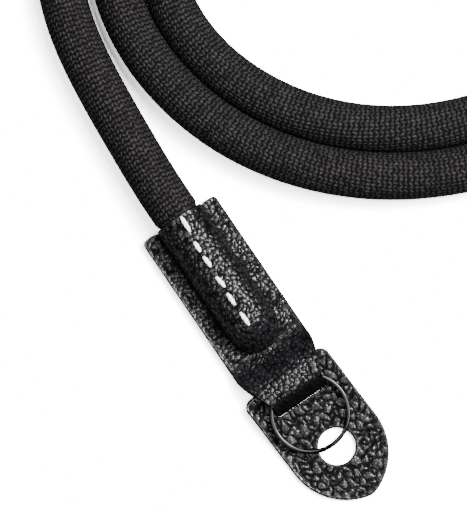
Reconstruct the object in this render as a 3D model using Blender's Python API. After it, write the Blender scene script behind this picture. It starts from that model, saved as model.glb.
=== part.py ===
"""A camera strap: a round braided rope, loosely coiled, with a leather end on each end of it.

Each leather end is one strip, folded over. Its upper layer is moulded as a dome over the rope's end, and its
narrow tongue goes down through the slot of a leather lug guard. A split ring hangs in the same fold.
The strap lies on a table at Z = 0. The origin lies on the table, midway between the two leather ends.
All lengths are in metres and all angles in degrees.
"""

import math

import bmesh
import bpy
import numpy as np
from mathutils import Matrix, Vector

for left_over in list(bpy.data.objects):
    bpy.data.objects.remove(left_over)

# The rope and its coil. The turns run clockwise as seen from above, each inside the one before it.
ROPE_DIAMETER = 0.0103
ROPE_SQUEEZE = 0.00065
TURN_PITCH = 0.0107
COIL_CENTRE = (0.01190, 0.03445)
COIL_RADIUS = 0.0755
COIL_OVAL = 0.0031
COIL_OVAL_ANGLE = 20.0
COIL_LONGER = 0.025
POINTS_A_TURN = 13
COIL_POINTS = 26

# Where each leather end lies: the middle of its mouth on the table, and the way that its tongue points.
END_A_PLACE = (-0.03775, -0.04088)
END_A_HEADING = -55.9
END_B_PLACE = (-0.01875, 0.06020)
END_B_HEADING = 30.0

# The rope's free stretches between the leather ends and the coil, as points on its centreline: x, y and height.
LEAD_OUT = [
    (-0.0400, -0.0376, 0.0056),
    (-0.0416, -0.0352, 0.0054),
    (-0.0489, -0.0232, 0.00515),
    (-0.0570, -0.0088, 0.00515),
    (-0.0639, 0.0078, 0.00515),
    (-0.0660, 0.0205, 0.00515),
]
LEAD_IN = [
    (-0.0429, 0.0225, 0.00515),
    (-0.0412, 0.0373, 0.00515),
    (-0.0345, 0.0491, 0.0052),
    (-0.0256, 0.0562, 0.0054),
    (-0.0222, 0.0582, 0.0056),
]

# The leather end
LEATHER = 0.0010
GLUE_LINE = 0.00015
POCKET_CLEARANCE = 0.00025
SEAT_GAP = 0.0003
TAB_LENGTH = 0.04815
TAB_WIDTH = 0.0195
TAB_CORNER = 0.0010
TONGUE_WIDTH = 0.0126
TAPER_LENGTH = 0.0102
TONGUE_STRAIGHT = 0.00105
ROPE_DEPTH = 0.0255
DOME_LENGTH = 0.0331
DOME_FILLET = 0.0024
DOME_END_WIDTH = 0.35
BOTTOM_FOLD_RADIUS = 0.0009
TOP_FOLD_RADIUS = 0.0020

# The lug guard
GUARD_LENGTH = 0.0330
GUARD_WIDTH = 0.0225
GUARD_THICKNESS = 0.0014
GUARD_CORNER = 0.0021
GUARD_EDGE_ROUND = 0.00025
GUARD_BAR = 0.0045
GUARD_BEND = 0.0090
GUARD_SIDE_LENGTH = 0.0192
GUARD_NOSE_ROUND = 0.0036
GUARD_TURN = 3.5
GUARD_SHIFT = -0.0002
SLOT_CLEARANCE = 0.00185
SLOT_PLAY = 0.0003
SLOT_CORNER = 0.0004
SLOT_SIDE_CLEARANCE = 0.0005
LUG_HOLE = 0.0083
LUG_HOLE_PLACE = 0.0198

# The split ring
RING_DIAMETER = 0.0180
RING_WIRE_WIDTH = 0.00095
RING_COIL_HEIGHT = 0.0006
RING_COIL_GAP = 0.0001
RING_PAST_BAR = 0.0060
RING_SHIFT = -0.0002
RING_STEP_ANGLE = 16.0
RING_STEP_HALF = 20.0

# What follows from the sizes above
ROPE_RADIUS = ROPE_DIAMETER / 2
SQUEEZED_RADIUS = ROPE_RADIUS - ROPE_SQUEEZE
POCKET_HEIGHT = LEATHER + POCKET_CLEARANCE + SQUEEZED_RADIUS
DOME_RADIUS = SQUEEZED_RADIUS + POCKET_CLEARANCE + LEATHER / 2
DOME_CLOSING = DOME_LENGTH - ROPE_DEPTH - LEATHER / 2
DOME_STRAIGHT = DOME_LENGTH - DOME_CLOSING
CLIMB_START = DOME_LENGTH + 0.3 * LEATHER
TAPER_START = TAB_LENGTH - TONGUE_STRAIGHT - TAPER_LENGTH
FLANGE_MIDDLE = 1.5 * LEATHER + GLUE_LINE
FOLD_FACE = TAB_LENGTH - LEATHER / 2
BAR_EDGE = TAB_LENGTH - LEATHER - SLOT_CLEARANCE
BAR_RAISE = LEATHER + SEAT_GAP
RING_PLACE = BAR_EDGE + RING_PAST_BAR
RING_HEIGHT = 2 * RING_COIL_HEIGHT + RING_COIL_GAP
RING_LOW_SEAT = GUARD_THICKNESS + SEAT_GAP
RING_HIGH_SEAT = BAR_RAISE + GUARD_THICKNESS + SEAT_GAP
RING_SLOPE = (RING_HIGH_SEAT - RING_LOW_SEAT) / (RING_PAST_BAR + RING_DIAMETER / 2)
RING_TOP_PLACE = RING_PLACE - RING_DIAMETER / 2
RING_BOTTOM_AT_TOP = RING_HIGH_SEAT + RING_SLOPE * (BAR_EDGE - RING_TOP_PLACE)
TONGUE_MIDDLE = RING_BOTTOM_AT_TOP + RING_HEIGHT + SEAT_GAP + LEATHER / 2
SLOT_LENGTH = SLOT_CLEARANCE + LEATHER + SLOT_PLAY
SLOT_WIDTH = TONGUE_WIDTH + 2 * SLOT_SIDE_CLEARANCE


def material(name, colour, roughness, metallic=0.0):
    """A plain Principled material."""
    made = bpy.data.materials.new(name)
    made.use_nodes = True
    shader = made.node_tree.nodes["Principled BSDF"]
    shader.inputs["Base Color"].default_value = (*colour, 1.0)
    shader.inputs["Roughness"].default_value = roughness
    shader.inputs["Metallic"].default_value = metallic
    return made


def eased(share):
    """0 to 1, flat at both ends: 3s^2 - 2s^3 of the clamped share."""
    share = np.clip(share, 0.0, 1.0)
    return share * share * (3.0 - 2.0 * share)


def shown(name, mesh, finish):
    """A new object of this mesh, shaded smooth except at edges sharper than 35 degrees."""
    piece = bpy.data.objects.new(name, mesh)
    if not mesh.materials:
        mesh.materials.append(finish)
        mesh.shade_smooth()
        mesh.set_sharp_from_angle(angle=math.radians(35))
    bpy.context.scene.collection.objects.link(piece)
    return piece


def closed_mesh(name, points, faces):
    """A mesh of these points and faces, with its faces pointing out."""
    mesh = bpy.data.meshes.new(name)
    mesh.from_pydata([tuple(map(float, p)) for p in points], [], faces)
    work = bmesh.new()
    work.from_mesh(mesh)
    bmesh.ops.recalc_face_normals(work, faces=work.faces)
    work.to_mesh(mesh)
    work.free()
    return mesh


# The rope


def smooth_curve(points, steps):
    """Points on a natural cubic spline through the given points, so many steps to each interval."""
    points = np.array(points, float)
    gap = np.linalg.norm(np.diff(points, axis=0), axis=1)[:, None]
    slope = np.diff(points, axis=0) / gap
    system = np.eye(len(points))
    bend = np.zeros_like(points)
    for i in range(1, len(points) - 1):
        before, after = gap[i - 1, 0], gap[i, 0]
        system[i, i - 1 : i + 2] = before, 2 * (before + after), after
        bend[i] = 6 * (slope[i] - slope[i - 1])
    bend = np.linalg.solve(system, bend)
    made = []
    for i in range(len(points) - 1):
        b = np.linspace(0, 1, steps, endpoint=False)[:, None]
        a = 1 - b
        curved = (a**3 - a) * bend[i] + (b**3 - b) * bend[i + 1]
        made.append(a * points[i] + b * points[i + 1] + gap[i] ** 2 / 6 * curved)
    return np.vstack([*made, points[-1:]])


def first_turn(angle):
    """The coil's outermost turn as a closed oval, longer towards +Y."""
    radius = COIL_RADIUS + COIL_OVAL * math.cos(2 * (angle - math.radians(COIL_OVAL_ANGLE)))
    x = COIL_CENTRE[0] + radius * math.cos(angle)
    y = COIL_CENTRE[1] + radius * math.sin(angle) + COIL_LONGER * max(0.0, math.sin(angle))
    return np.array([x, y])


def coil_point(turned):
    """The coil's centreline after so many turns, clockwise from its left side, moved in square to the oval."""
    angle = math.pi - 2 * math.pi * turned
    way = first_turn(angle - 0.01) - first_turn(angle + 0.01)
    inward = np.array([way[1], -way[0]]) / np.linalg.norm(way)
    x, y = first_turn(angle) + TURN_PITCH * turned * inward
    return (x, y, ROPE_RADIUS)


def pocket_points(place, heading):
    """The rope's centreline inside a leather end: at the rope's end, midway and at the mouth."""
    way = np.array([math.cos(math.radians(heading)), math.sin(math.radians(heading))])
    depths = (ROPE_DEPTH, ROPE_DEPTH / 2, 0.0)
    return [(*(np.array(place) + depth * way), POCKET_HEIGHT) for depth in depths]


def rope_route():
    """The rope's own points, from inside the first leather end, round the coil, into the second one."""
    coil = [coil_point(k / POINTS_A_TURN) for k in range(COIL_POINTS)]
    start = pocket_points(END_A_PLACE, END_A_HEADING)
    end = pocket_points(END_B_PLACE, END_B_HEADING)
    return start + LEAD_OUT + coil + LEAD_IN + end[::-1]


def make_rope(finish):
    """A round tube along the smooth curve through the route's points, never below the table.

    It is squeezed thinner inside the leather ends.
    """
    steps = 2
    line = smooth_curve(rope_route(), steps)
    last_inside = steps * (len(pocket_points(END_A_PLACE, END_A_HEADING)) - 1)
    line[:, 2] = np.maximum(line[:, 2], ROPE_RADIUS)
    curve = bpy.data.curves.new("rope", "CURVE")
    curve.dimensions = "3D"
    curve.bevel_depth = ROPE_RADIUS
    curve.bevel_resolution = 4
    curve.use_fill_caps = True
    curve.render_resolution_u = 0
    spline = curve.splines.new("POLY")
    spline.points.add(len(line) - 1)
    for number, (point, place) in enumerate(zip(spline.points, line)):
        point.co = (*place, 1.0)
        if min(number, len(line) - 1 - number) <= last_inside:
            point.radius = SQUEEZED_RADIUS / ROPE_RADIUS
    curve.materials.append(finish)
    piece = bpy.data.objects.new("rope", curve)
    bpy.context.scene.collection.objects.link(piece)


# The leather end, in its own frame: X from the mouth towards the tongue, the table at Z = 0


def half_width(x):
    """Half the strip's width at x: rounded corners at the mouth, straight sides, then a taper to the tongue."""
    corner = TAB_CORNER - math.sqrt(max(0.0, TAB_CORNER**2 - max(0.0, TAB_CORNER - x) ** 2))
    share = min(1.0, max(0.0, (x - TAPER_START) / TAPER_LENGTH))
    narrower = (TAB_WIDTH - TONGUE_WIDTH) / 2 * (share + float(eased(share))) / 2
    return TAB_WIDTH / 2 - corner - narrower


def dome_half_section():
    """The moulded layer's middle line from crest to flange: y and height above the flange, for a whole dome."""
    rise = POCKET_HEIGHT - FLANGE_MIDDLE
    line = [
        (DOME_RADIUS * math.sin(a), rise + DOME_RADIUS * math.cos(a))
        for a in np.radians([0, 18, 36, 54, 72, 90])
    ]
    line += [
        (DOME_RADIUS + DOME_FILLET * (1 - math.cos(a)), DOME_FILLET * (1 - math.sin(a)))
        for a in np.radians([0, 30, 60, 90])
    ]
    return line


def tongue_rise(x):
    """The upper layer's middle height where it leaves the glued flange and climbs over guard and ring."""
    share = (x - CLIMB_START) / (RING_TOP_PLACE - CLIMB_START)
    return FLANGE_MIDDLE + (TONGUE_MIDDLE - FLANGE_MIDDLE) * float(eased(share))


def upper_row(x):
    """One row of points across the upper layer at x. The dome closes as a quarter ellipse at its end."""
    share = min(1.0, max(0.0, (x - DOME_STRAIGHT) / DOME_CLOSING))
    tall = math.sqrt(1 - share**2)
    wide = DOME_END_WIDTH + (1 - DOME_END_WIDTH) * tall
    base = tongue_rise(x)
    half = [(y * wide, base + tall * z) for y, z in dome_half_section()]
    half.append((half_width(x), base))
    return [(x, -y, z) for y, z in half[:0:-1]] + [(x, y, z) for y, z in half]


def lower_row(x, height, like):
    """One flat row across the strip, with its points spread as in the row that it follows."""
    full = like[-1][1]
    return [(x, y / full * half_width(x), height) for _, y, _ in like]


def strip_rows():
    """Rows of points across the strip's middle surface: under the rope, round the fold and back on top."""
    mouth = [0.0, 0.3 * TAB_CORNER, TAB_CORNER]
    along_dome = mouth + [DOME_STRAIGHT * s for s in (0.25, 0.5, 0.75)]
    along_end = [DOME_STRAIGHT + DOME_CLOSING * s for s in (0.0, 0.35, 0.6, 0.78, 0.9, 0.97, 1.0)]
    climb = [DOME_LENGTH + (RING_TOP_PLACE - DOME_LENGTH) * s for s in (0.12, 0.3, 0.5, 0.7, 0.85, 1.0)]
    fold_start = FOLD_FACE - TOP_FOLD_RADIUS
    flat = [(RING_TOP_PLACE + fold_start) / 2, fold_start]
    spread = upper_row(DOME_STRAIGHT)
    bottom = mouth + [DOME_STRAIGHT / 2, TAPER_START, (TAPER_START + FOLD_FACE) / 2]
    rows = [lower_row(x, LEATHER / 2, spread) for x in bottom]
    for a in np.radians([-90, -45, 0]):
        x = FOLD_FACE - BOTTOM_FOLD_RADIUS * (1 - math.cos(a))
        rows.append(lower_row(x, LEATHER / 2 + BOTTOM_FOLD_RADIUS * (1 + math.sin(a)), spread))
    for a in np.radians([0, 30, 60]):
        x = FOLD_FACE - TOP_FOLD_RADIUS * (1 - math.cos(a))
        rows.append(lower_row(x, TONGUE_MIDDLE - TOP_FOLD_RADIUS * (1 - math.sin(a)), spread))
    rows += [upper_row(x) for x in (along_dome + along_end + climb + flat)[::-1]]
    return np.array(rows)


def walled(middle, thickness):
    """A closed wall: the grid of middle points moved half the thickness both ways along its normals."""
    along = np.gradient(middle, axis=0)
    across = np.gradient(middle, axis=1)
    normal = np.cross(along, across)
    normal /= np.linalg.norm(normal, axis=2)[:, :, None]
    rows, columns = middle.shape[:2]
    inner = (middle + normal * thickness / 2).reshape(-1, 3)
    outer = (middle - normal * thickness / 2).reshape(-1, 3)
    count = rows * columns
    faces = []
    for i in range(rows - 1):
        for j in range(columns - 1):
            a, b = i * columns + j, (i + 1) * columns + j
            faces += [(a, a + 1, b + 1, b), (count + a, count + b, count + b + 1, count + a + 1)]
    rim = [(0, j) for j in range(columns)] + [(i, columns - 1) for i in range(1, rows)]
    rim += [(rows - 1, j) for j in range(columns - 2, -1, -1)] + [(i, 0) for i in range(rows - 2, 0, -1)]
    rim = [i * columns + j for i, j in rim]
    for a, b in zip(rim, rim[1:] + rim[:1]):
        faces.append((a, count + a, count + b, b))
    return np.vstack([inner, outer]), faces


def make_tab_mesh():
    """The leather end as one folded strip of even thickness."""
    points, faces = walled(strip_rows(), LEATHER)
    return closed_mesh("end_tab", points, faces)


# The split ring, in its own frame: flat about its centre


def make_ring_mesh():
    """Two flat turns of wire, one on the other, joined by a short step, as one chamfered bar along a path.

    The wire's two ends stop short of the step, one on each side of it.
    """
    step = math.radians(RING_STEP_HALF)
    angles = np.linspace(1.3 * step, 4 * math.pi - 1.3 * step, 61)
    share = eased((angles - (2 * math.pi - step)) / (2 * step))
    heights = (RING_COIL_HEIGHT + RING_COIL_GAP) * (share - 0.5)
    radius = (RING_DIAMETER - RING_WIRE_WIDTH) / 2
    chamfer = 0.3 * RING_COIL_HEIGHT
    w, h = RING_WIRE_WIDTH / 2, RING_COIL_HEIGHT / 2
    section = [
        (w, -h + chamfer), (w, h - chamfer), (w - chamfer, h), (-w + chamfer, h),
        (-w, h - chamfer), (-w, -h + chamfer), (-w + chamfer, -h), (w - chamfer, -h),
    ]
    turn = angles + math.radians(RING_STEP_ANGLE)
    points = [
        ((radius + out) * np.array([math.cos(t), math.sin(t), 0.0]) + np.array([0.0, 0.0, z + up]))
        for t, z in zip(turn, heights)
        for out, up in section
    ]
    n = len(section)
    faces = [
        (i * n + j, i * n + (j + 1) % n, (i + 1) * n + (j + 1) % n, (i + 1) * n + j)
        for i in range(len(angles) - 1)
        for j in range(n)
    ]
    faces += [tuple(range(n)), tuple(range(len(points) - n, len(points)))]
    return closed_mesh("split_ring", points, faces)


# The lug guard, in its own frame: X from the middle of its top edge towards its nose


def arc(centre, radius, start, stop, steps):
    """Points on an arc from one angle to another."""
    return [
        (centre[0] + radius * math.cos(math.radians(a)), centre[1] + radius * math.sin(math.radians(a)))
        for a in np.linspace(start, stop, steps + 1)
    ]


def guard_outline():
    """Round top corners, straight sides, then an arc from each side to the nose's round tip."""
    w, r, tip = GUARD_WIDTH / 2, GUARD_CORNER, GUARD_NOSE_ROUND
    long = GUARD_LENGTH - tip - GUARD_SIDE_LENGTH
    side = (long**2 + w**2 - tip**2) / (2 * (w - tip))
    meet = math.degrees(math.atan2(side - w, long))
    half = arc((r, w - r), r, 180, 90, 4)
    half += arc((GUARD_SIDE_LENGTH, w - side), side, 90, meet, 8)
    half += arc((GUARD_LENGTH - tip, 0.0), tip, meet, 0, 4)[1:]
    return half + [(x, -y) for x, y in half[-2::-1]]


def slot_outline():
    """The slot's outline, with small round corners, square to the tongue that passes through it."""
    r = SLOT_CORNER
    near, far, w = r, SLOT_LENGTH - r, SLOT_WIDTH / 2 - r
    corners = [((near, -w), 180), ((far, -w), 270), ((far, w), 0), ((near, w), 90)]
    outline = [point for centre, start in corners for point in arc(centre, r, start, start + 90, 2)]
    c, s = math.cos(math.radians(GUARD_TURN)), math.sin(math.radians(GUARD_TURN))
    return [(GUARD_BAR + x * c + y * s, y * c - x * s) for x, y in outline]


def guard_lift(x):
    """How far the guard's underside stands off the table: its bar lies on the tongue, its nose on the table."""
    return BAR_RAISE * (1 - float(eased((x - GUARD_BAR) / GUARD_BEND)))


def make_guard_mesh():
    """The outline filled around the slot and the lug's hole, given its thickness, its rims eased, then bent."""
    loops = [guard_outline(), slot_outline(), arc((LUG_HOLE_PLACE, 0), LUG_HOLE / 2, 0, 345, 23)]
    work = bmesh.new()
    for loop in loops:
        made = [work.verts.new((x, y, 0.0)) for x, y in loop]
        for a, b in zip(made, made[1:] + made[:1]):
            work.edges.new((a, b))
    bmesh.ops.triangle_fill(work, use_beauty=True, edges=work.edges[:], normal=(0, 0, 1))
    grown = bmesh.ops.extrude_face_region(work, geom=work.faces[:])["geom"]
    for point in (item for item in grown if isinstance(item, bmesh.types.BMVert)):
        point.co.z += GUARD_THICKNESS
    bmesh.ops.recalc_face_normals(work, faces=work.faces)
    rims = [
        edge for edge in work.edges
        if len(edge.link_faces) == 2 and 80 < math.degrees(edge.calc_face_angle()) < 100
        and abs(edge.verts[0].co.z - edge.verts[1].co.z) < GUARD_THICKNESS / 2
    ]
    bmesh.ops.bevel(work, geom=rims, offset=GUARD_EDGE_ROUND, segments=1, affect="EDGES")
    for share in (0.0, 0.2, 0.38, 0.58, 0.78, 1.0):
        geometry = work.verts[:] + work.edges[:] + work.faces[:]
        cut = (GUARD_BAR + share * GUARD_BEND, 0, 0)
        bmesh.ops.bisect_plane(work, geom=geometry, dist=1e-7, plane_co=cut, plane_no=(1, 0, 0))
    for point in work.verts:
        point.co.z += guard_lift(point.co.x)
    bmesh.ops.triangulate(work, faces=work.faces[:])
    bmesh.ops.recalc_face_normals(work, faces=work.faces)
    mesh = bpy.data.meshes.new("lug_guard")
    work.to_mesh(mesh)
    work.free()
    return mesh


# The whole strap


def place_end(letter, place, heading, meshes, leather, metal):
    """One leather end with its ring and guard, carried by an empty at the middle of its mouth."""
    tab_mesh, ring_mesh, guard_mesh = meshes
    carrier = bpy.data.objects.new("end_" + letter, None)
    bpy.context.scene.collection.objects.link(carrier)
    carrier.location = (*place, 0.0)
    carrier.rotation_euler = (0.0, 0.0, math.radians(heading))

    tab = shown("end_tab_" + letter, tab_mesh, leather)
    tab.parent = carrier

    ring = shown("split_ring_" + letter, ring_mesh, metal)
    ring.parent = carrier
    height = RING_HIGH_SEAT - RING_SLOPE * RING_PAST_BAR + RING_HEIGHT / 2
    ring.location = (RING_PLACE, RING_SHIFT, height)
    ring.rotation_euler = (0.0, math.atan(RING_SLOPE), 0.0)

    guard = shown("lug_guard_" + letter, guard_mesh, leather)
    guard.parent = carrier
    turn = Matrix.Rotation(math.radians(GUARD_TURN), 4, "Z")
    pivot = Vector((BAR_EDGE, GUARD_SHIFT, 0.0))
    guard.location = pivot - turn @ Vector((GUARD_BAR, 0.0, 0.0))
    guard.rotation_euler = (0.0, 0.0, math.radians(GUARD_TURN))


def main():
    rope_finish = material("black_braid", (0.012, 0.012, 0.013), 0.75)
    leather = material("black_leather", (0.016, 0.016, 0.018), 0.5)
    metal = material("black_nickel", (0.20, 0.20, 0.21), 0.25, 1.0)
    make_rope(rope_finish)
    meshes = (make_tab_mesh(), make_ring_mesh(), make_guard_mesh())
    place_end("a", END_A_PLACE, END_A_HEADING, meshes, leather, metal)
    place_end("b", END_B_PLACE, END_B_HEADING, meshes, leather, metal)
    bpy.context.view_layer.update()


main()
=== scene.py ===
"""Looks for the coiled camera strap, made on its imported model.

The rope is a braided tube, each leather end a folded strip moulded over the rope, each guard a pebbled
plate with two holes, each split ring two turns of oval wire, and the stitches are twisted thread. Lengths
are in metres.
"""

import math

import bmesh
import bpy
import numpy as np
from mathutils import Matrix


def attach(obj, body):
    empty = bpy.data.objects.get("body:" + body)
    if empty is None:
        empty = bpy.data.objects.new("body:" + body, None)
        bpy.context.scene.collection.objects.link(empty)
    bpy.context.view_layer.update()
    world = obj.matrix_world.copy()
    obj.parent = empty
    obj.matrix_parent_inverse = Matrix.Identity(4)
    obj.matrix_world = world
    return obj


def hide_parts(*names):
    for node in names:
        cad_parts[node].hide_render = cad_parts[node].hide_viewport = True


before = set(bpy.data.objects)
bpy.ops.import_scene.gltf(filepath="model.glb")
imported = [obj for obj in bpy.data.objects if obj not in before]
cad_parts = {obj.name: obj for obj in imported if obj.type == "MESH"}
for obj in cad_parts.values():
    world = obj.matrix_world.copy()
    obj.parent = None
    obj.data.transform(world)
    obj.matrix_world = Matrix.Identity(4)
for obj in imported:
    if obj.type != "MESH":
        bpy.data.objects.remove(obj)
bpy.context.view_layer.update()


# Sizes, the same as in the part's own source

ROPE_DIAMETER = 0.0103
ROPE_SQUEEZE = 0.00065
TURN_PITCH = 0.0107
COIL_CENTRE = (0.01190, 0.03445)
COIL_RADIUS = 0.0755
COIL_OVAL = 0.0031
COIL_OVAL_ANGLE = 20.0
COIL_LONGER = 0.025
POINTS_A_TURN = 13
COIL_POINTS = 26
ENDS = {"a": ((-0.03775, -0.04088), -55.9), "b": ((-0.01875, 0.06020), 30.0)}
LEAD_OUT = [
    (-0.0400, -0.0376, 0.0056), (-0.0416, -0.0352, 0.0054), (-0.0489, -0.0232, 0.00515),
    (-0.0570, -0.0088, 0.00515), (-0.0639, 0.0078, 0.00515), (-0.0660, 0.0205, 0.00515),
]
LEAD_IN = [
    (-0.0429, 0.0225, 0.00515), (-0.0412, 0.0373, 0.00515), (-0.0345, 0.0491, 0.0052),
    (-0.0256, 0.0562, 0.0054), (-0.0222, 0.0582, 0.0056),
]

LEATHER = 0.0010
GLUE_LINE = 0.00015
POCKET_CLEARANCE = 0.00025
SEAT_GAP = 0.0003
TAB_LENGTH = 0.04815
TAB_WIDTH = 0.0195
TAB_CORNER = 0.0010
TONGUE_WIDTH = 0.0126
TAPER_LENGTH = 0.0102
TONGUE_STRAIGHT = 0.00105
ROPE_DEPTH = 0.0255
DOME_LENGTH = 0.0331
DOME_END_WIDTH = 0.35
BOTTOM_FOLD_RADIUS = 0.0009
TOP_FOLD_RADIUS = 0.0020

GUARD_LENGTH = 0.0330
GUARD_WIDTH = 0.0225
GUARD_THICKNESS = 0.0014
GUARD_CORNER = 0.0021
GUARD_BAR = 0.0045
GUARD_BEND = 0.0090
GUARD_SIDE_LENGTH = 0.0192
GUARD_NOSE_ROUND = 0.0036
GUARD_TURN = 3.5
GUARD_SHIFT = -0.0002
SLOT_CLEARANCE = 0.00185
SLOT_CORNER = 0.0004
LUG_HOLE = 0.0083
LUG_HOLE_PLACE = 0.0198

RING_DIAMETER = 0.0180
RING_WIRE_WIDTH = 0.00095
RING_COIL_HEIGHT = 0.0006
RING_COIL_GAP = 0.0001
RING_PAST_BAR = 0.0060
RING_SHIFT = -0.0002
RING_STEP_ANGLE = 16.0
RING_STEP_HALF = 20.0

# Sizes of the looks alone. The next three are smaller than in the part's source, for a closer fit.

DOME_FILLET = 0.0016
SLOT_PLAY = 0.00008
SLOT_SIDE_CLEARANCE = 0.0002

RIB_PITCH = 0.00115
RIB_RISE = 0.00019
VALLEY_DEPTH = 0.00016
BRAID_COLUMNS = 36

MOUTH_LIP = 0.0005
MOUTH_CORNER_LIP = 0.0008
LEATHER_EDGE = 0.0003
LEATHER_STEP = 0.00021
EVEN_RUN = 0.006
STRAP_PEBBLE = 0.00118
STRAP_GRAIN_DEPTH = 0.00020
STRAP_CREASE = 0.27

GUARD_EDGE = 0.00032
GUARD_PEBBLE = 0.0017
GUARD_PEBBLE_SQUASH = 0.72
GUARD_GRAIN_DEPTH = 0.00034
GUARD_CREASE = 0.17

# Each stitch's two holes on the leather end: how far in from the mouth, and how far off the crest.
STITCHES = [
    ((-0.0003, 0.0001), (0.0041, -0.0001)), ((0.0061, -0.0006), (0.0090, -0.0007)),
    ((0.0099, -0.0008), (0.0131, -0.0006)), ((0.0152, -0.0010), (0.0185, -0.0006)),
    ((0.0196, -0.0010), (0.0231, -0.0010)), ((0.0247, -0.0010), (0.0285, -0.0009)),
]
STITCH_RADIUS = 0.00046
STITCH_TWIST = 0.0011

# Sizes that follow from the others

ROPE_RADIUS = ROPE_DIAMETER / 2
SQUEEZED_RADIUS = ROPE_RADIUS - ROPE_SQUEEZE
POCKET_HEIGHT = LEATHER + POCKET_CLEARANCE + SQUEEZED_RADIUS
DOME_RADIUS = SQUEEZED_RADIUS + POCKET_CLEARANCE + LEATHER / 2
DOME_CLOSING = DOME_LENGTH - ROPE_DEPTH - LEATHER / 2
DOME_STRAIGHT = DOME_LENGTH - DOME_CLOSING
CLIMB_START = DOME_LENGTH + 0.3 * LEATHER
TAPER_START = TAB_LENGTH - TONGUE_STRAIGHT - TAPER_LENGTH
FLANGE_MIDDLE = 1.5 * LEATHER + GLUE_LINE
FOLD_FACE = TAB_LENGTH - LEATHER / 2
BAR_EDGE = TAB_LENGTH - LEATHER - SLOT_CLEARANCE
BAR_RAISE = LEATHER + SEAT_GAP
RING_PLACE = BAR_EDGE + RING_PAST_BAR
RING_HEIGHT = 2 * RING_COIL_HEIGHT + RING_COIL_GAP
RING_LOW_SEAT = GUARD_THICKNESS + SEAT_GAP
RING_HIGH_SEAT = BAR_RAISE + GUARD_THICKNESS + SEAT_GAP
RING_SLOPE = (RING_HIGH_SEAT - RING_LOW_SEAT) / (RING_PAST_BAR + RING_DIAMETER / 2)
RING_TOP_PLACE = RING_PLACE - RING_DIAMETER / 2
RING_BOTTOM_AT_TOP = RING_HIGH_SEAT + RING_SLOPE * (BAR_EDGE - RING_TOP_PLACE)
TONGUE_MIDDLE = RING_BOTTOM_AT_TOP + RING_HEIGHT + SEAT_GAP + LEATHER / 2
SLOT_LENGTH = SLOT_CLEARANCE + LEATHER + SLOT_PLAY
SLOT_WIDTH = TONGUE_WIDTH + 2 * SLOT_SIDE_CLEARANCE


# The camera, the light and the table

CAMERA_AIM = (-0.0261, -0.04895)
CAMERA_AWAY = 0.60
CAMERA_TILT = 8.0
CAMERA_LENS = 185.0

# Each light: its name, place, size and power.
LIGHTS = [
    ("key", (0.52, 0.24, 1.0), 0.32, 26.0),
    ("window", (0.54, 0.22, 1.02), 1.00, 54.0),
    ("fill", (-0.35, -0.40, 0.9), 0.80, 10.0),
]
LIGHT_AIM = (0.0, -0.03, 0.0)
SURROUND = 0.045
TABLE_HALF = 6.0


def make_camera():
    """The photograph's camera: 82 degrees above the table, 0.6 m from its aim, with a long lens."""
    data = bpy.data.cameras.new("photo_camera")
    data.sensor_width = 36.0
    data.lens = CAMERA_LENS
    data.clip_start = 0.05
    camera = bpy.data.objects.new("photo_camera", data)
    tilt = math.radians(CAMERA_TILT)
    camera.rotation_euler = (tilt, 0.0, 0.0)
    x, y = CAMERA_AIM
    camera.location = (x, y - CAMERA_AWAY * math.sin(tilt), CAMERA_AWAY * math.cos(tilt))
    bpy.context.scene.collection.objects.link(camera)
    bpy.context.scene.camera = camera


def soft_light(name, place, size, power):
    """A square area light at a place, facing the lights' aim."""
    data = bpy.data.lights.new(name, "AREA")
    data.size = size
    data.energy = power
    lamp = bpy.data.objects.new(name, data)
    lamp.location = place
    way = np.array(LIGHT_AIM) - np.array(place)
    flat = math.hypot(way[0], way[1])
    lamp.rotation_euler = (math.atan2(flat, -way[2]), 0.0, math.atan2(way[1], way[0]) - math.pi / 2)
    bpy.context.scene.collection.objects.link(lamp)


def make_light():
    """A small and a large soft light from the right, a weak one from the left front, and a dim surround."""
    for light in LIGHTS:
        soft_light(*light)
    world = bpy.data.worlds.new("studio")
    world.use_nodes = True
    background = world.node_tree.nodes["Background"]
    background.inputs["Color"].default_value = (1.0, 1.0, 1.0, 1.0)
    background.inputs["Strength"].default_value = SURROUND
    bpy.context.scene.world = world


def make_table(finish):
    """The table: a flat square 12 m wide, its top at zero height."""
    half = TABLE_HALF
    corners = [(-half, -half, 0), (half, -half, 0), (half, half, 0), (-half, half, 0)]
    mesh = bpy.data.meshes.new("table")
    mesh.from_pydata(corners, [], [(0, 1, 2, 3)])
    mesh.materials.append(finish)
    table = bpy.data.objects.new("table", mesh)
    bpy.context.scene.collection.objects.link(table)


# Materials

# The fine grain's creases as a share of its cells, how far a noise moves it, and its second, finer size.
GRAIN_CREASE = 0.3
GRAIN_WANDER = 0.0002
GRAIN_FINER = 2.3

# How far the ribs waver: a column's own share of a rib, and noise waves to the metre.
COLUMN_WAVER = 0.2
RIB_WAVER_WAVES = 1100.0

# Colours, linear
# Painted shade: the near black laid between the braid's ribs and on its columns' edges.
BRAID_VALLEY_SHADE = (0.0016, 0.0015, 0.0015, 1.0)
BRAID_DARK = (0.004, 0.0036, 0.0037, 1.0)
BRAID_LIT = (0.0325, 0.0295, 0.0298, 1.0)
SKIN_DARK = (0.0060, 0.0060, 0.0070, 1.0)
SKIN_LIT = (0.0125, 0.0125, 0.0145, 1.0)
# Painted shade: the near black of the leather's creases.
CREASE_SHADE = (0.0003, 0.0003, 0.0003, 1.0)
PAINTED_RIM = (0.004, 0.0022, 0.0022, 1.0)
FLESH = (0.020, 0.019, 0.019, 1.0)
BLACK_NICKEL = (0.022, 0.020, 0.020, 1.0)
THREAD_DARK = (0.86, 0.85, 0.83, 1.0)
THREAD_LIT = (0.98, 0.98, 0.97, 1.0)
TABLE_SEEN = (4.3, 4.3, 4.3, 1.0)
TABLE_MIRRORED = (0.12, 0.12, 0.12, 1.0)


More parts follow.
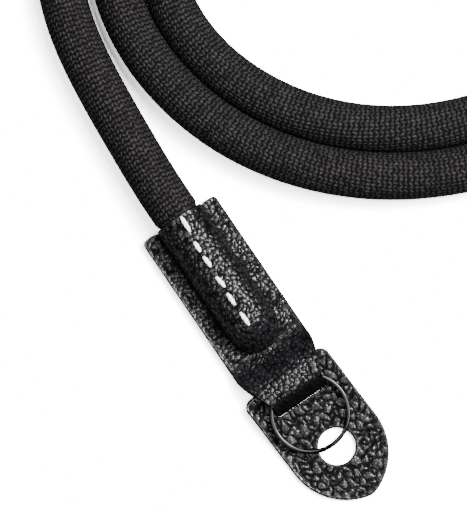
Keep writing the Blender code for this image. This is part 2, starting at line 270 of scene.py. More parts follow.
def wire(tree, source, target):
    """Joins a socket, or sets a number or a tuple, on a target socket."""
    if isinstance(source, bpy.types.NodeSocket):
        tree.links.new(source, target)
    else:
        target.default_value = source


def sum_up(tree, kind, first, second=0.0, third=0.0, clamp=False):
    """A Math node of this kind on sockets or numbers; gives its output socket."""
    node = tree.nodes.new("ShaderNodeMath")
    node.operation = kind
    node.use_clamp = clamp
    for source, target in zip((first, second, third), node.inputs):
        wire(tree, source, target)
    return node.outputs[0]


def remap(tree, value, low, high, to_low=0.0, to_high=1.0, smooth=True):
    """A Map Range node, clamped, smooth between its limits unless told not to be."""
    node = tree.nodes.new("ShaderNodeMapRange")
    node.interpolation_type = "SMOOTHSTEP" if smooth else "LINEAR"
    wire(tree, value, node.inputs["Value"])
    for name, number in (("From Min", low), ("From Max", high), ("To Min", to_low), ("To Max", to_high)):
        wire(tree, number, node.inputs[name])
    return node.outputs["Result"]


def blend_colour(tree, share, first, second):
    """A colour mix from first to second by a share."""
    node = tree.nodes.new("ShaderNodeMix")
    node.data_type = "RGBA"
    wire(tree, share, node.inputs[0])
    wire(tree, first, node.inputs[6])
    wire(tree, second, node.inputs[7])
    return node.outputs[2]


def noise(tree, place, scale, detail=2.0, rough=0.5):
    """A noise texture's value and colour at a place, with this many waves to the metre."""
    node = tree.nodes.new("ShaderNodeTexNoise")
    wire(tree, place, node.inputs["Vector"])
    node.inputs["Scale"].default_value = scale
    node.inputs["Detail"].default_value = detail
    node.inputs["Roughness"].default_value = rough
    return node.outputs["Fac"], node.outputs["Color"]


def new_group(name, inputs, outputs):
    """A shader node group with these named inputs (name, kind, value) and named outputs (name, kind)."""
    group = bpy.data.node_groups.new(name, "ShaderNodeTree")
    for title, kind, value in inputs:
        socket = group.interface.new_socket(name=title, in_out="INPUT", socket_type=kind)
        if value is not None:
            socket.default_value = value
    for title, kind in outputs:
        group.interface.new_socket(name=title, in_out="OUTPUT", socket_type=kind)
    return group, group.nodes.new("NodeGroupInput"), group.nodes.new("NodeGroupOutput")


def placed_group(tree, group, **values):
    """A node group in a material, with its inputs joined or set by name (with _ for a space)."""
    node = tree.nodes.new("ShaderNodeGroup")
    node.node_tree = group
    for title, value in values.items():
        wire(tree, value, node.inputs[title.replace("_", " ")])
    return node


def new_material(name, **settings):
    """A material with one Principled shader, whose plain settings are given by name (with _ for a space)."""
    made = bpy.data.materials.new(name)
    made.use_nodes = True
    shader = made.node_tree.nodes["Principled BSDF"]
    for title, value in settings.items():
        shader.inputs[title.replace("_", " ")].default_value = value
    return made, made.node_tree, shader


def object_place(tree):
    """The Object coordinates."""
    return tree.nodes.new("ShaderNodeTexCoord").outputs["Object"]


def mark(tree, name):
    """A value that the mesh carries under this name."""
    node = tree.nodes.new("ShaderNodeAttribute")
    node.attribute_name = name
    return node.outputs["Fac"]


def relief(tree, shader, height, depth):
    """A bump of this height map, so deep in metres, into the shader's normal."""
    node = tree.nodes.new("ShaderNodeBump")
    node.inputs["Distance"].default_value = depth
    wire(tree, height, node.inputs["Height"])
    tree.links.new(node.outputs["Normal"], shader.inputs["Normal"])


def pebble_group():
    """Fine grain: cells parted by creases, at two sizes, on coordinates that a noise has moved a little.

    The height is 0.72 of the large cells and 0.28 of the small ones, the crown the large cells alone, and the
    tone a wide noise.
    """
    group, given, out = new_group(
        "pebble_grain",
        [("Place", "NodeSocketVector", None), ("Cells", "NodeSocketFloat", 1500.0)],
        [("Height", "NodeSocketFloat"), ("Crown", "NodeSocketFloat"), ("Tone", "NodeSocketFloat")],
    )
    place = given.outputs["Place"]
    _, drift = noise(group, place, 900.0, 1.0)
    centred = group.nodes.new("ShaderNodeVectorMath")
    centred.operation = "MULTIPLY_ADD"
    wire(group, drift, centred.inputs[0])
    wire(group, (GRAIN_WANDER, GRAIN_WANDER, GRAIN_WANDER), centred.inputs[1])
    wire(group, place, centred.inputs[2])

    def cells(scale):
        """One size of cells: 0 on their borders, rising to 1."""
        node = group.nodes.new("ShaderNodeTexVoronoi")
        node.feature = "DISTANCE_TO_EDGE"
        wire(group, centred.outputs[0], node.inputs["Vector"])
        wire(group, scale, node.inputs["Scale"])
        node.inputs["Randomness"].default_value = 0.85
        return remap(group, node.outputs["Distance"], 0.0, GRAIN_CREASE)

    large = cells(given.outputs["Cells"])
    small = cells(sum_up(group, "MULTIPLY", given.outputs["Cells"], GRAIN_FINER))
    patch, _ = noise(group, place, 350.0, 2.0)
    height = sum_up(group, "MULTIPLY_ADD", small, 0.28, sum_up(group, "MULTIPLY", large, 0.72))
    wire(group, height, out.inputs["Height"])
    wire(group, large, out.inputs["Crown"])
    wire(group, patch, out.inputs["Tone"])
    return group


def braid_group():
    """Braid relief from the rope's own map: ribs along the first coordinate, columns along the second.

    A rib is a raised cosine of its coordinate, which a noise and each column's own share make waver. Its
    crest is the rib times 0.25 to 1, least on a column's edges. The height adds 0.12 of fine filaments along
    the rib. The tone is 0.6 of a fine noise, 0.3 of each stitch's own value and 0.1 of a wide noise.
    """
    group, given, out = new_group(
        "braid",
        [
            ("Rib", "NodeSocketFloat", 0.0), ("Column", "NodeSocketFloat", 0.0),
            ("Place", "NodeSocketVector", None),
        ],
        [("Height", "NodeSocketFloat"), ("Crest", "NodeSocketFloat"), ("Tone", "NodeSocketFloat")],
    )
    column = given.outputs["Column"]
    strand = group.nodes.new("ShaderNodeTexWhiteNoise")
    strand.noise_dimensions = "1D"
    wire(group, sum_up(group, "FLOOR", column), strand.inputs["W"])
    bent, _ = noise(group, given.outputs["Place"], RIB_WAVER_WAVES)
    waver = sum_up(group, "MULTIPLY_ADD", strand.outputs["Value"], COLUMN_WAVER, bent)
    rib = sum_up(group, "ADD", given.outputs["Rib"], waver)
    turn = sum_up(group, "MULTIPLY", rib, 2 * math.pi)
    crest = sum_up(group, "MULTIPLY_ADD", sum_up(group, "COSINE", turn), 0.5, 0.5)
    arch = sum_up(group, "MULTIPLY", sum_up(group, "PINGPONG", column, 0.5), 2.0)
    arch = remap(group, arch, 0.0, 0.9)
    stitch = sum_up(group, "MULTIPLY", crest, sum_up(group, "MULTIPLY_ADD", arch, 0.75, 0.25))
    speckle, _ = noise(group, given.outputs["Place"], 3600.0, 2.0, 0.7)
    fibre = sum_up(group, "COSINE", sum_up(group, "MULTIPLY", turn, 6.0))
    fibre = sum_up(group, "MULTIPLY_ADD", fibre, 0.5, 0.5)
    height = sum_up(group, "MULTIPLY_ADD", fibre, 0.12, stitch)
    own = group.nodes.new("ShaderNodeTexWhiteNoise")
    own.noise_dimensions = "2D"
    both = group.nodes.new("ShaderNodeCombineXYZ")
    wire(group, sum_up(group, "ROUND", rib), both.inputs[0])
    wire(group, sum_up(group, "FLOOR", column), both.inputs[1])
    wire(group, both.outputs[0], own.inputs["Vector"])
    worn, _ = noise(group, given.outputs["Place"], 260.0, 3.0)
    tone = sum_up(group, "MULTIPLY_ADD", own.outputs["Value"], 0.3, sum_up(group, "MULTIPLY", worn, 0.1))
    tone = sum_up(group, "MULTIPLY_ADD", remap(group, speckle, 0.3, 0.7), 0.6, tone)
    wire(group, height, out.inputs["Height"])
    wire(group, stitch, out.inputs["Crest"])
    wire(group, tone, out.inputs["Tone"])
    return group


def make_braid_material(group):
    """Black braid: charcoal on the ribs, painted shade near black between them, each stitch of its own tone.
    """
    made, tree, shader = new_material("black_braid", Specular_IOR_Level=0.04)
    chart = tree.nodes.new("ShaderNodeUVMap")
    chart.uv_map = "braid"
    parts = tree.nodes.new("ShaderNodeSeparateXYZ")
    wire(tree, chart.outputs["UV"], parts.inputs[0])
    place = object_place(tree)
    braid = placed_group(tree, group, Rib=parts.outputs[0], Column=parts.outputs[1], Place=place)
    tone = remap(tree, braid.outputs["Tone"], 0.1, 0.95, smooth=False)
    crest = braid.outputs["Crest"]
    lit = blend_colour(tree, tone, BRAID_DARK, BRAID_LIT)
    # Painted shade: away from the crests the colour falls to near black, in the valleys and on the columns'
    # edges.
    colour = blend_colour(tree, remap(tree, crest, 0.0, 0.62), BRAID_VALLEY_SHADE, lit)
    wire(tree, colour, shader.inputs["Base Color"])
    wire(tree, remap(tree, crest, 0.0, 1.0, 0.85, 0.55), shader.inputs["Roughness"])
    relief(tree, shader, braid.outputs["Height"], 0.00030)
    return made


def make_leather_material(name, group, cells, depth, shine, blur):
    """Black leather: crowns with a thin gloss, dull creases, a plain painted rim and a rough flesh side.

    The large pebbles are in the mesh, which marks their creases. The fine grain on them, so many cells to the
    metre and so deep, is a bump and a mask. All these creases take painted shade in the colour. The gloss is
    a coat of this weight (shine) and roughness (blur).
    """
    made, tree, shader = new_material(name, Specular_IOR_Level=0.02, Coat_Roughness=blur, Coat_IOR=1.6)
    place = object_place(tree)
    grain = placed_group(tree, group, Place=place, Cells=cells)
    rim = mark(tree, "rim")
    flesh = mark(tree, "flesh")
    worn = remap(tree, grain.outputs["Tone"], 0.3, 0.7)
    # The crease mark and the fine grain's borders carry painted shade in the colour, and also dull the gloss.
    deep = sum_up(tree, "MULTIPLY", mark(tree, "crease"), 0.9)
    fine = remap(tree, grain.outputs["Crown"], 0.0, 1.0, 0.3, 1.0)
    crown = sum_up(tree, "MULTIPLY", sum_up(tree, "SUBTRACT", 1.0, deep), fine)
    skin = blend_colour(tree, worn, SKIN_DARK, SKIN_LIT)
    # Painted shade: near black wherever the crown is low, in the creases.
    skin = blend_colour(tree, crown, CREASE_SHADE, skin)
    skin = blend_colour(tree, rim, skin, PAINTED_RIM)
    skin = blend_colour(tree, flesh, skin, FLESH)
    wire(tree, skin, shader.inputs["Base Color"])
    gloss = remap(tree, crown, 0.0, 1.0, 0.5, 0.23)
    gloss = sum_up(tree, "MULTIPLY_ADD", worn, 0.07, gloss)
    gloss = sum_up(tree, "MAXIMUM", gloss, sum_up(tree, "MULTIPLY", flesh, 0.85))
    wire(tree, gloss, shader.inputs["Roughness"])
    level = remap(tree, crown, 0.1, 0.95, 0.0, shine)
    level = sum_up(tree, "MULTIPLY", level, remap(tree, rim, 0.0, 1.0, 1.0, 0.1))
    wire(tree, level, shader.inputs["Coat Weight"])
    smooth = sum_up(tree, "SUBTRACT", 1.0, rim, clamp=True)
    height = sum_up(tree, "MULTIPLY", grain.outputs["Height"], smooth)
    relief(tree, shader, height, depth)
    return made


def make_nickel_material():
    """Polished black nickel with faint fine wear."""
    made, tree, shader = new_material("black_nickel", Metallic=1.0, Base_Color=BLACK_NICKEL)
    fine, _ = noise(tree, object_place(tree), 4000.0, 4.0)
    wire(tree, remap(tree, fine, 0.3, 0.7, 0.045, 0.08), shader.inputs["Roughness"])
    relief(tree, shader, fine, 0.000004)
    return made


def make_thread_material():
    """White twisted thread with fine fibres."""
    made, tree, shader = new_material("white_thread", Roughness=0.75, Sheen_Weight=0.2)
    fine, _ = noise(tree, object_place(tree), 9000.0, 3.0)
    wire(tree, blend_colour(tree, fine, THREAD_DARK, THREAD_LIT), shader.inputs["Base Color"])
    relief(tree, shader, fine, 0.00003)
    return made


def make_table_material():
    """A plain table, over-bright white to the eye as on a light table, dark grey in its reflected light."""
    made, tree, shader = new_material("table_white")
    tree.nodes.remove(shader)
    bright = tree.nodes.new("ShaderNodeBsdfDiffuse")
    seen = tree.nodes.new("ShaderNodeLightPath")
    colour = blend_colour(tree, seen.outputs["Is Camera Ray"], TABLE_MIRRORED, TABLE_SEEN)
    wire(tree, colour, bright.inputs["Color"])
    tree.links.new(bright.outputs[0], tree.nodes["Material Output"].inputs["Surface"])
    return made


# Meshes from arrays


def eased(share):
    """0 to 1, flat at both ends: 3s^2 - 2s^3 of the clamped share."""
    share = np.clip(share, 0.0, 1.0)
    return share * share * (3.0 - 2.0 * share)


def grid_quads(rows, columns, around=False):
    """The quads of a grid of points, row after row; around joins its last column to its first."""
    i = np.arange(rows - 1)[:, None]
    j = np.arange(columns if around else columns - 1)[None, :]
    k = (j + 1) % columns
    return np.stack(
        [i * columns + j, i * columns + k, (i + 1) * columns + k, (i + 1) * columns + j], axis=-1
    ).reshape(-1, 4)


def show(name, points, quads, finish, replaced, marks=None, chart=None, sharp=None):
    """A finished piece: its mesh welded, facing out, smooth, with its marks and map, riding on the part."""
    mesh = bpy.data.meshes.new(name)
    mesh.from_pydata(points.reshape(-1, 3), [], quads)
    for title, values in (marks or {}).items():
        layer = mesh.attributes.new(title, "FLOAT", "POINT")
        layer.data.foreach_set("value", np.ascontiguousarray(values, dtype=np.float32).ravel())
    if chart is not None:
        layer = mesh.uv_layers.new(name="braid")
        layer.data.foreach_set("uv", np.ascontiguousarray(chart, dtype=np.float32).ravel())
    work = bmesh.new()
    work.from_mesh(mesh)
    bmesh.ops.remove_doubles(work, verts=work.verts, dist=1e-6)
    bmesh.ops.dissolve_degenerate(work, edges=work.edges, dist=1e-7)
    bmesh.ops.recalc_face_normals(work, faces=work.faces)
    work.to_mesh(mesh)
    work.free()
    mesh.shade_smooth()
    if sharp:
        mesh.set_sharp_from_angle(angle=math.radians(sharp))
    mesh.materials.append(finish)
    piece = bpy.data.objects.new(name, mesh)
    bpy.context.scene.collection.objects.link(piece)
    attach(piece, "root")
    if replaced:
        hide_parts(replaced)
    return piece


def placed(points, letter):
    """Points from a leather end's own frame to the world: turned about Z and moved to the end's place."""
    place, heading = ENDS[letter]
    c, s = math.cos(math.radians(heading)), math.sin(math.radians(heading))
    x, y, z = points[..., 0], points[..., 1], points[..., 2]
    return np.stack([place[0] + x * c - y * s, place[1] + x * s + y * c, z], axis=-1)


def pebbles(points, size, seed, line):
    """Pebble relief at 3D points, 0 in the creases to 1 on the crowns, and one of its creases alone.

    The points are first moved a little on sine waves. A jittered grid of this size has one centre in a cell.
    With F1 and F2 a point's distances to its nearest and second nearest centre, over the size, the relief is
    eased((F2 - F1) / 0.24) times 1 - 0.6 F1^2. The second is eased((F2 - F1) / line), so 0 in the creases.
    """
    slope, dome, drift, wave = 0.24, 0.6, 0.12, 3.1
    rng = np.random.default_rng(seed)
    flat = points.reshape(-1, 3)
    flat = flat + drift * size * np.sin(flat[:, [1, 2, 0]] * wave / size)
    low = flat.min(axis=0) - 2 * size
    count = ((flat.max(axis=0) - low) / size).astype(int) + 3
    centres = rng.uniform(0.08, 0.92, (*count, 3))
    place = (flat - low) / size
    cell = place.astype(int)
    nearest, second = np.full((2, len(flat)), 9.0)
    for shift in np.ndindex(3, 3, 3):
        near = cell + np.array(shift) - 1
        away = np.linalg.norm(place - near - centres[near[:, 0], near[:, 1], near[:, 2]], axis=1)
        second = np.minimum(np.maximum(nearest, away), second)
        nearest = np.minimum(nearest, away)
    between = (second - nearest).reshape(points.shape[:-1])
    crown = np.clip(1 - dome * nearest.reshape(between.shape) ** 2, 0.0, 1.0)
    return eased(between / slope) * crown, eased(between / line)


# The rope


def smooth_curve(points, steps):
    """Points on a natural cubic spline through the given points, so many steps to each interval."""
    points = np.array(points, float)
    gap = np.linalg.norm(np.diff(points, axis=0), axis=1)[:, None]
    slope = np.diff(points, axis=0) / gap
    system = np.eye(len(points))
    bend = np.zeros_like(points)
    for i in range(1, len(points) - 1):
        before, after = gap[i - 1, 0], gap[i, 0]
        system[i, i - 1 : i + 2] = before, 2 * (before + after), after
        bend[i] = 6 * (slope[i] - slope[i - 1])
    bend = np.linalg.solve(system, bend)
    made = []
    for i in range(len(points) - 1):
        b = np.linspace(0, 1, steps, endpoint=False)[:, None]
        a = 1 - b
        curved = (a**3 - a) * bend[i] + (b**3 - b) * bend[i + 1]
        made.append(a * points[i] + b * points[i + 1] + gap[i] ** 2 / 6 * curved)
    return np.vstack([*made, points[-1:]])


def first_turn(angle):
    """The coil's outermost turn as a closed oval, longer towards +Y."""
    radius = COIL_RADIUS + COIL_OVAL * math.cos(2 * (angle - math.radians(COIL_OVAL_ANGLE)))
    x = COIL_CENTRE[0] + radius * math.cos(angle)
    y = COIL_CENTRE[1] + radius * math.sin(angle) + COIL_LONGER * max(0.0, math.sin(angle))
    return np.array([x, y])


def coil_point(turned):
    """The coil's centreline after so many turns, clockwise from the left, moved in square to the oval."""
    angle = math.pi - 2 * math.pi * turned
    way = first_turn(angle - 0.01) - first_turn(angle + 0.01)
    inward = np.array([way[1], -way[0]]) / np.linalg.norm(way)
    x, y = first_turn(angle) + TURN_PITCH * turned * inward
    return (x, y, ROPE_RADIUS)


def pocket_points(letter):
    """The rope's centreline inside a leather end: at the rope's end, midway and at the mouth."""
    depths = (ROPE_DEPTH, ROPE_DEPTH / 2, 0.0)
    return placed(np.array([[depth, 0.0, POCKET_HEIGHT] for depth in depths]), letter).tolist()


def rope_line(step):
    """The rope's centreline, with its points this far apart, and its length."""
    coil = [coil_point(k / POINTS_A_TURN) for k in range(COIL_POINTS)]
    line = smooth_curve(pocket_points("a") + LEAD_OUT + coil + LEAD_IN + pocket_points("b")[::-1], 40)
    line[:, 2] = np.maximum(line[:, 2], ROPE_RADIUS)
    run = np.concatenate([[0.0], np.cumsum(np.linalg.norm(np.diff(line, axis=0), axis=1))])
    even = np.linspace(0.0, run[-1], round(run[-1] / step) + 1)
    return np.column_stack([np.interp(even, run, line[:, k]) for k in range(3)]), run[-1]


def make_rope(finish):
    """The braided rope: a tube whose rings follow the braid's chevrons, crest and valley in turn.

    A point lies on ring i and at angle 2 pi j / 36. It stands at length i times half the rib pitch, further
    along where j is odd, so that the ribs lean left and right in turn. Its radius is the rope's and a small
    rise, less a dip in each valley and a random one, both shallower at the rope's sides, and less the squeeze
    inside the leather ends. The whole braid turns slowly to and fro about the rope's own line, on two sines.
    """
    columns, lean, squeeze_run = BRAID_COLUMNS, 0.34, 0.0018
    uneven_depth, uneven_place = 0.00003, 0.00005
    side_dip = 0.15
    line, length = rope_line(0.0003)
    run = np.linspace(0.0, length, len(line))
    rings = 2 * int(length / RIB_PITCH) - 2
    i = np.arange(rings + 1)[:, None]
    j = np.arange(columns)[None, :]
    along = np.clip(RIB_PITCH * (i / 2 + 0.5 + lean * (j % 2 - 0.5)), 0.0, length)
    twist = 0.45 * np.sin(2 * math.pi * along / 0.31) + 0.25 * np.sin(2 * math.pi * along / 0.117 + 1.0)
    angle = 2 * math.pi * j / columns + twist
    valley = (i % 2).astype(float)
    rng = np.random.default_rng(7)
    uneven = rng.normal(0.0, uneven_depth, (rings + 1, columns))
    along = along + rng.normal(0.0, uneven_place, along.shape)
    inside = np.minimum(along, length - along) - ROPE_DEPTH - MOUTH_LIP
    full = ROPE_RADIUS + RIB_RISE - ROPE_SQUEEZE * (1 - eased(inside / squeeze_run))
    upright = side_dip + (1 - side_dip) * np.abs(np.sin(angle))
    radius = full - (VALLEY_DEPTH * valley + np.abs(uneven)) * upright
    middle = np.stack([np.interp(along, run, line[:, k]) for k in range(3)], axis=-1)
    tangent = np.gradient(line, axis=0)
    way = np.stack([np.interp(along, run, tangent[:, k]) for k in range(3)], axis=-1)
    way /= np.linalg.norm(way, axis=-1, keepdims=True)
    side = np.stack([way[..., 1], -way[..., 0], np.zeros_like(way[..., 0])], axis=-1)
    side /= np.linalg.norm(side, axis=-1, keepdims=True)
    up = np.cross(side, way)
    points = middle + radius[..., None] * (np.cos(angle)[..., None] * side + np.sin(angle)[..., None] * up)
    start, end = middle[:1].mean(axis=1, keepdims=True), middle[-1:].mean(axis=1, keepdims=True)
    first = [start * (1 - s) + points[:1] * s for s in (0.0, 0.55)]
    last = [end * (1 - s) + points[-1:] * s for s in (0.55, 0.0)]
    points = np.concatenate([*first, points, *last])
    rows, around = points.shape[:2]
    a = np.arange(rows - 1)[:, None] / 2 - 1
    b = np.arange(around)[None, :]
    corners = [(a, b), (a, b + 1), (a + 0.5, b + 1), (a + 0.5, b)]
    chart = np.stack([np.stack(np.broadcast_arrays(u, v), axis=-1) for u, v in corners], axis=2)
    quads = grid_quads(rows, around, True)
    rope = show("rope_braid", points, quads, finish, "rope", chart=chart)


# The leather ends


def half_width(x):
    """Half the strip's width at x: round corners at the mouth, straight sides, then a taper to the tongue."""
    short = np.clip(TAB_CORNER - x, 0.0, TAB_CORNER)
    corner = TAB_CORNER - np.sqrt(TAB_CORNER**2 - short**2)
    share = np.clip((x - TAPER_START) / TAPER_LENGTH, 0.0, 1.0)
    return TAB_WIDTH / 2 - corner - (TAB_WIDTH - TONGUE_WIDTH) / 2 * (share + eased(share)) / 2


def dome_section(reach):
    """The moulded layer's section, so far from its crest: a quarter circle, a wall, a fillet, the flange."""
    rise = POCKET_HEIGHT - FLANGE_MIDDLE
    arc, turn = DOME_RADIUS * math.pi / 2, DOME_FILLET * math.pi / 2
    wall = arc + rise - DOME_FILLET
    a = np.clip(reach, 0.0, arc) / DOME_RADIUS
    b = np.clip(reach - wall, 0.0, turn) / DOME_FILLET
    down = np.clip(reach - arc, 0.0, wall - arc)
    flat = np.clip(reach - wall - turn, 0.0, None)
    y = DOME_RADIUS * np.sin(a) + DOME_FILLET * (1 - np.cos(b)) + flat
    z = rise + DOME_RADIUS * np.cos(a) - down - DOME_FILLET * np.sin(b)
    return y, z


def strip_rows():
    """The folded strip's rows: x, height, how tall and wide the dome is there, and how even the columns.

    The rows run along the flat layer to the fold, round it on a quarter circle below and a flatter curve
    above, and back over the tongue and the dome to the mouth. The dome's end falls on a quarter ellipse.
    """
    step, round_share = LEATHER_STEP, 0.2
    under = np.arange(0.0, FOLD_FACE - BOTTOM_FOLD_RADIUS, 6 * step)
    low = np.radians(np.linspace(-90, 0, 7))
    high = np.radians(np.linspace(0, 90, 17))
    bow_x = round_share * (1 - np.cos(high)) + (1 - round_share) * high / high[-1]
    bow_z = round_share * (1 - np.sin(high)) + (1 - round_share) * (1 - high / high[-1])
    x = [under, FOLD_FACE - BOTTOM_FOLD_RADIUS * (1 - np.cos(low)), FOLD_FACE - TOP_FOLD_RADIUS * bow_x]
    z = [
        np.full_like(under, LEATHER / 2), LEATHER / 2 + BOTTOM_FOLD_RADIUS * (1 + np.sin(low)),
        TONGUE_MIDDLE - TOP_FOLD_RADIUS * bow_z,
    ]
    tongue = np.arange(FOLD_FACE - TOP_FOLD_RADIUS - step, DOME_LENGTH + DOME_FILLET + step / 2, -step)
    foot = np.radians(np.linspace(90, 0, 6))
    end = np.radians(np.linspace(90, 0, 48))[1:]
    dome = np.arange(DOME_STRAIGHT - step, step / 2, -step)
    dome = np.append(dome, 0.0)
    crown = POCKET_HEIGHT - FLANGE_MIDDLE + DOME_RADIUS
    top_x = [
        tongue, DOME_LENGTH + DOME_FILLET * (1 - np.cos(foot)),
        DOME_STRAIGHT + DOME_CLOSING * np.sin(end), dome,
    ]
    tall = [
        np.zeros_like(tongue), DOME_FILLET * (1 - np.sin(foot)) / crown,
        (DOME_FILLET + (crown - DOME_FILLET) * np.cos(end)) / crown, np.ones_like(dome),
    ]
    wide = [
        np.full_like(tongue, DOME_END_WIDTH), np.full_like(foot, DOME_END_WIDTH),
        DOME_END_WIDTH + (1 - DOME_END_WIDTH) * np.cos(end), np.ones_like(dome),
    ]
    top_x = np.concatenate(top_x)
    climb = eased((top_x - CLIMB_START) / (RING_TOP_PLACE - CLIMB_START))
    top_z = FLANGE_MIDDLE + (TONGUE_MIDDLE - FLANGE_MIDDLE) * climb
    before = sum(len(part) for part in x)
    x = np.concatenate([*x, top_x])
    z = np.concatenate([*z, top_z])
    tall = np.concatenate([np.zeros(before), *tall])
    wide = np.concatenate([np.full(before, DOME_END_WIDTH), *wide])
    even = np.concatenate([np.ones(before), eased((top_x - DOME_LENGTH) / EVEN_RUN)])
    return x, z, tall, wide, even


def strip_surface():
    """The strip's middle surface, its columns' reach, the reach of the dome's foot and how tall each row is.

    Rows run along the strip and columns across it; a column's reach is its distance from the crest. In the
    moulded layer its y and z come from the dome's section, times the row's width and height. In the flat
    layer its y is an even share of the half width. The mouth's edge is drawn out by a lip that is longer at
    its sides and fades within 8 mm.
    """
    lip_start, lip_width, lip_run = 0.004, 0.003, 0.008
    x, z, tall, wide, even = strip_rows()
    foot_reach = (DOME_RADIUS + DOME_FILLET) * math.pi / 2 + POCKET_HEIGHT - FLANGE_MIDDLE - DOME_FILLET
    full = foot_reach + TAB_WIDTH / 2 - DOME_RADIUS - DOME_FILLET
    reach = np.concatenate([np.linspace(0, foot_reach, 64), np.linspace(foot_reach, full, 17)[1:]])
    reach = np.concatenate([-reach[:0:-1], reach])
    side, size = np.sign(reach), np.abs(reach)
    y0, z0 = dome_section(size)
    foot = DOME_RADIUS + DOME_FILLET
    share = np.clip((y0 - foot) / (TAB_WIDTH / 2 - foot), 0.0, 1.0)
    half = half_width(x)[:, None]
    shaped = np.minimum(y0, foot)[None, :] * wide[:, None]
    shaped = shaped + share[None, :] * (half - foot * wide[:, None])
    flat = size[None, :] / full * half
    y = side[None, :] * (shaped + even[:, None] * (flat - shaped))
    height = z[:, None] + tall[:, None] * z0[None, :]
    lip = MOUTH_LIP + MOUTH_CORNER_LIP * eased((np.abs(y) - lip_start) / lip_width)
    out = x[:, None] - lip * (1 - eased(x / lip_run))[:, None]
    return np.stack([out, y, height], axis=-1), size, foot_reach - DOME_FILLET, tall


def make_leather_end(letter, finish):
    """The leather end: the strip's middle surface given its wall, with half-round edges all round.

    Each row runs round the wall: the outer face, an elliptic edge, the inner face and an edge again. At the
    strip's two ends the rows close the same way. The outer face sinks by the pebbles' depth times 1 - relief,
    less so near its edges. The crease mark, painted shade that also dulls the gloss, is the largest of the
    pebbles' creases, a band of painted shade along the dome's foot, a bell curve of the reach, and painted
    shade over the fold. The rim mark is 1 on the edges and fades on the next columns; the flesh mark is 1 on
    the inner face.
    """
    edge_plain, side_step = 0.0009, 0.0002
    # The painted shade along the dome's foot: how strong and how wide; the painted shade over the fold: how
    # strong, how far before the fold's face it starts, and over what run.
    foot_shade_strength, foot_shade_width = 0.6, 0.0013
    fold_shade_strength, fold_shade_start, fold_shade_run = 0.85, 0.0029, 0.0006
    middle, size, valley, tall = strip_surface()
    along = np.gradient(middle, axis=0)
    across = np.gradient(middle, axis=1)
    normal = np.cross(across, along)
    normal /= np.linalg.norm(normal, axis=2, keepdims=True)
    across /= np.linalg.norm(across, axis=2, keepdims=True)
    along /= np.linalg.norm(along, axis=2, keepdims=True)
    half, edge = LEATHER / 2, LEATHER_EDGE
    turn = np.radians([60, 30, 0, -30, -60])

    def loop(row, out, scale):
        """One row's loop round the wall, its thickness scaled, moved out along the strip."""
        base = middle[row] + out * along[row]
        n = normal[row] * half * scale
        right = [base[-1] + across[row, -1] * edge * (np.cos(t) - 1) + n[-1] * np.sin(t) for t in turn]
        left = [base[0] - across[row, 0] * edge * (np.cos(t) - 1) + n[0] * np.sin(t) for t in turn[::-1]]
        outer = base + n - normal[row] * sunk[row][:, None]
        return np.concatenate([outer, right, (base - n)[::-1], left])

    rows = len(middle)
    relief, crease = pebbles(middle, STRAP_PEBBLE, 3, STRAP_CREASE)
    columns = middle.shape[1]
    from_side = np.minimum(np.arange(columns), np.arange(columns)[::-1]) * side_step
    from_end = np.minimum(np.arange(rows), np.arange(rows)[::-1]) * side_step
    plain = np.minimum(eased(from_side / edge_plain)[None, :], eased(from_end / edge_plain)[:, None])
    sunk = STRAP_GRAIN_DEPTH * (1 - relief) * plain
    ends = np.radians([90, 60, 30])
    first = [loop(0, -edge * (math.sin(t) - 1), math.cos(t)) for t in ends]
    last = [loop(rows - 1, edge * (math.sin(t) - 1), math.cos(t)) for t in ends[::-1]]
    points = np.stack([*first, *[loop(i, 0.0, 1.0) for i in range(rows)], *last])
    count = points.shape[1]
    place = np.arange(count)
    crease_shade = np.zeros(points.shape[:2])
    # Painted shade: a band along the dome's foot, where the valley lies in shade.
    foot_shade = foot_shade_strength * np.exp(-(((size - valley) / foot_shade_width) ** 2))
    foot_shade = foot_shade * eased((tall - 0.02) / 0.05)[:, None]
    # Painted shade over the fold, which turns away from the light.
    folded = fold_shade_strength * eased((middle[..., 0] - (FOLD_FACE - fold_shade_start)) / fold_shade_run)
    # The crease mark: painted shade in the pebbles' creases, along the dome's foot and over the fold.
    crease_shade[3:-3, :columns] = np.maximum(np.maximum((1 - crease) * plain, foot_shade), folded)
    to_edge = np.minimum(np.abs(place - (columns + 1.5)), count - np.abs(place - (columns + 1.5)))
    other = np.abs(place - (2 * columns + 7))
    nearest = np.minimum(to_edge, np.minimum(other, count - other))
    rim = np.clip(1.0 - (nearest - 3.0) / 2.0, 0.0, 1.0)
    rim = np.broadcast_to(rim, points.shape[:2]).copy()
    rim[:5] = 1.0
    rim[-5:] = 1.0
    flesh = ((place > columns + 4) & (place < 2 * columns + 4)).astype(float)
    flesh = np.broadcast_to(flesh, points.shape[:2])
    marks = {"rim": rim, "flesh": flesh, "crease": crease_shade}
    quads = grid_quads(len(points), count, True)
    show("leather_end_" + letter, placed(points, letter), quads, finish, "end_tab_" + letter,
         marks=marks)


